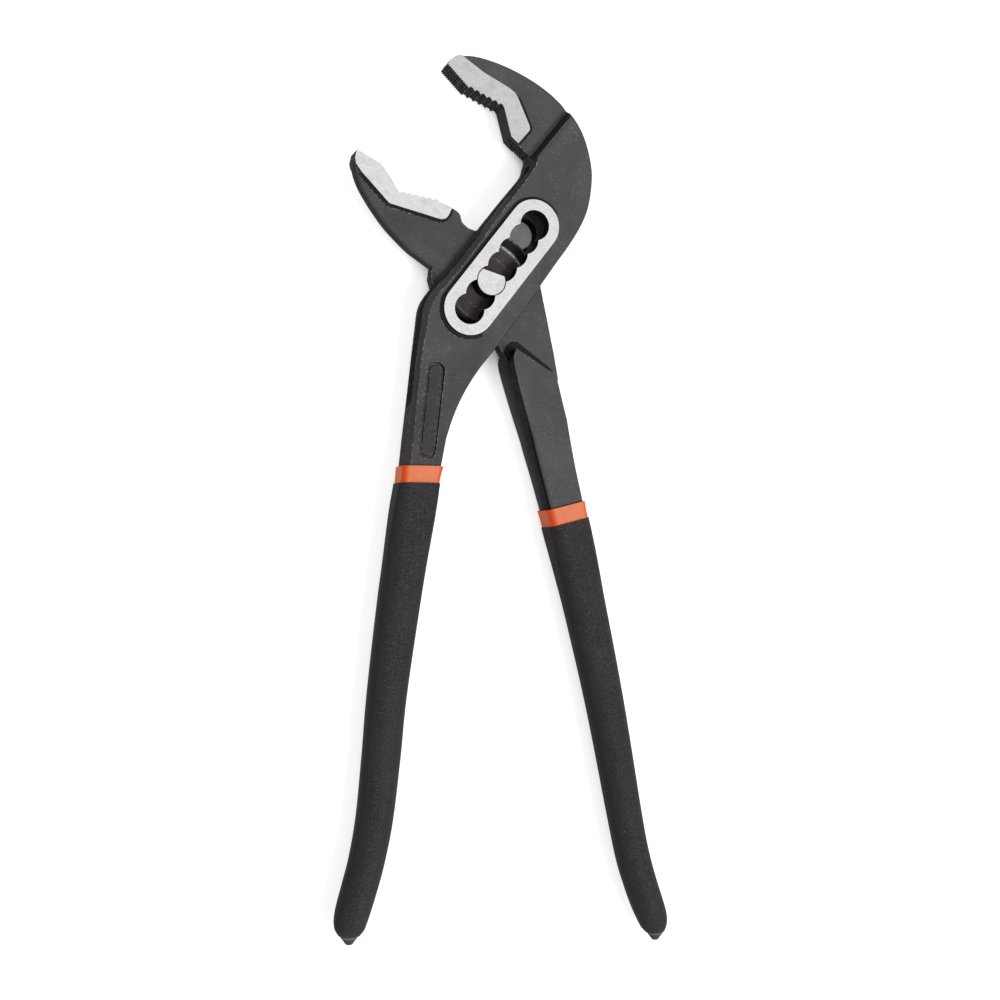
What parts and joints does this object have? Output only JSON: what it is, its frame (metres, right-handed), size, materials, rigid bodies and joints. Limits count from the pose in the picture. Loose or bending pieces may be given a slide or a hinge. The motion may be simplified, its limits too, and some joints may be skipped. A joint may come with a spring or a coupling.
{
  "type": "slip joint pliers",
  "caption": "Box joint slip joint pliers with hooked serrated jaws, a scalloped slot for the pivot pin and dipped grips.",
  "frame": {"origin": "on the pivot axis, on the back face of the box joint's ring and of the pin end", "axes": "+Y along the tool from the handles towards the jaws, +X towards the inner handle's side, +Z out of the front face along the pivot axis"},
  "size_m": [0.1004, 0.2576, 0.0144],
  "materials": {
    "forged_steel": "dark phosphated forging, matte",
    "ground_steel": "bright, finely ground",
    "orange_coat": "smooth soft vinyl",
    "black_coat": "fine-grained soft vinyl"
  },
  "bodies": {
    "outer": {"outer_arm": "forged_steel", "outer_band": "orange_coat", "outer_grip": "black_coat"},
    "slider": {"pivot_pin": "ground_steel"},
    "inner": {"inner_arm": "forged_steel", "inner_band": "orange_coat", "inner_grip": "black_coat", "pin_end_front": "ground_steel", "pin_end_back": "ground_steel"}
  },
  "joints": [
    {"name": "slip", "type": "slide", "parent": "outer", "child": "slider", "axis": [0.6143, 0.7891, 0], "range_m": [-0.01068, 0.02136]},
    {"name": "pivot", "type": "hinge", "parent": "slider", "child": "inner", "pos_m": [0, 0, 0.0072], "axis": [0, 0, 1], "range_deg": [-17, 68]}
  ]
}
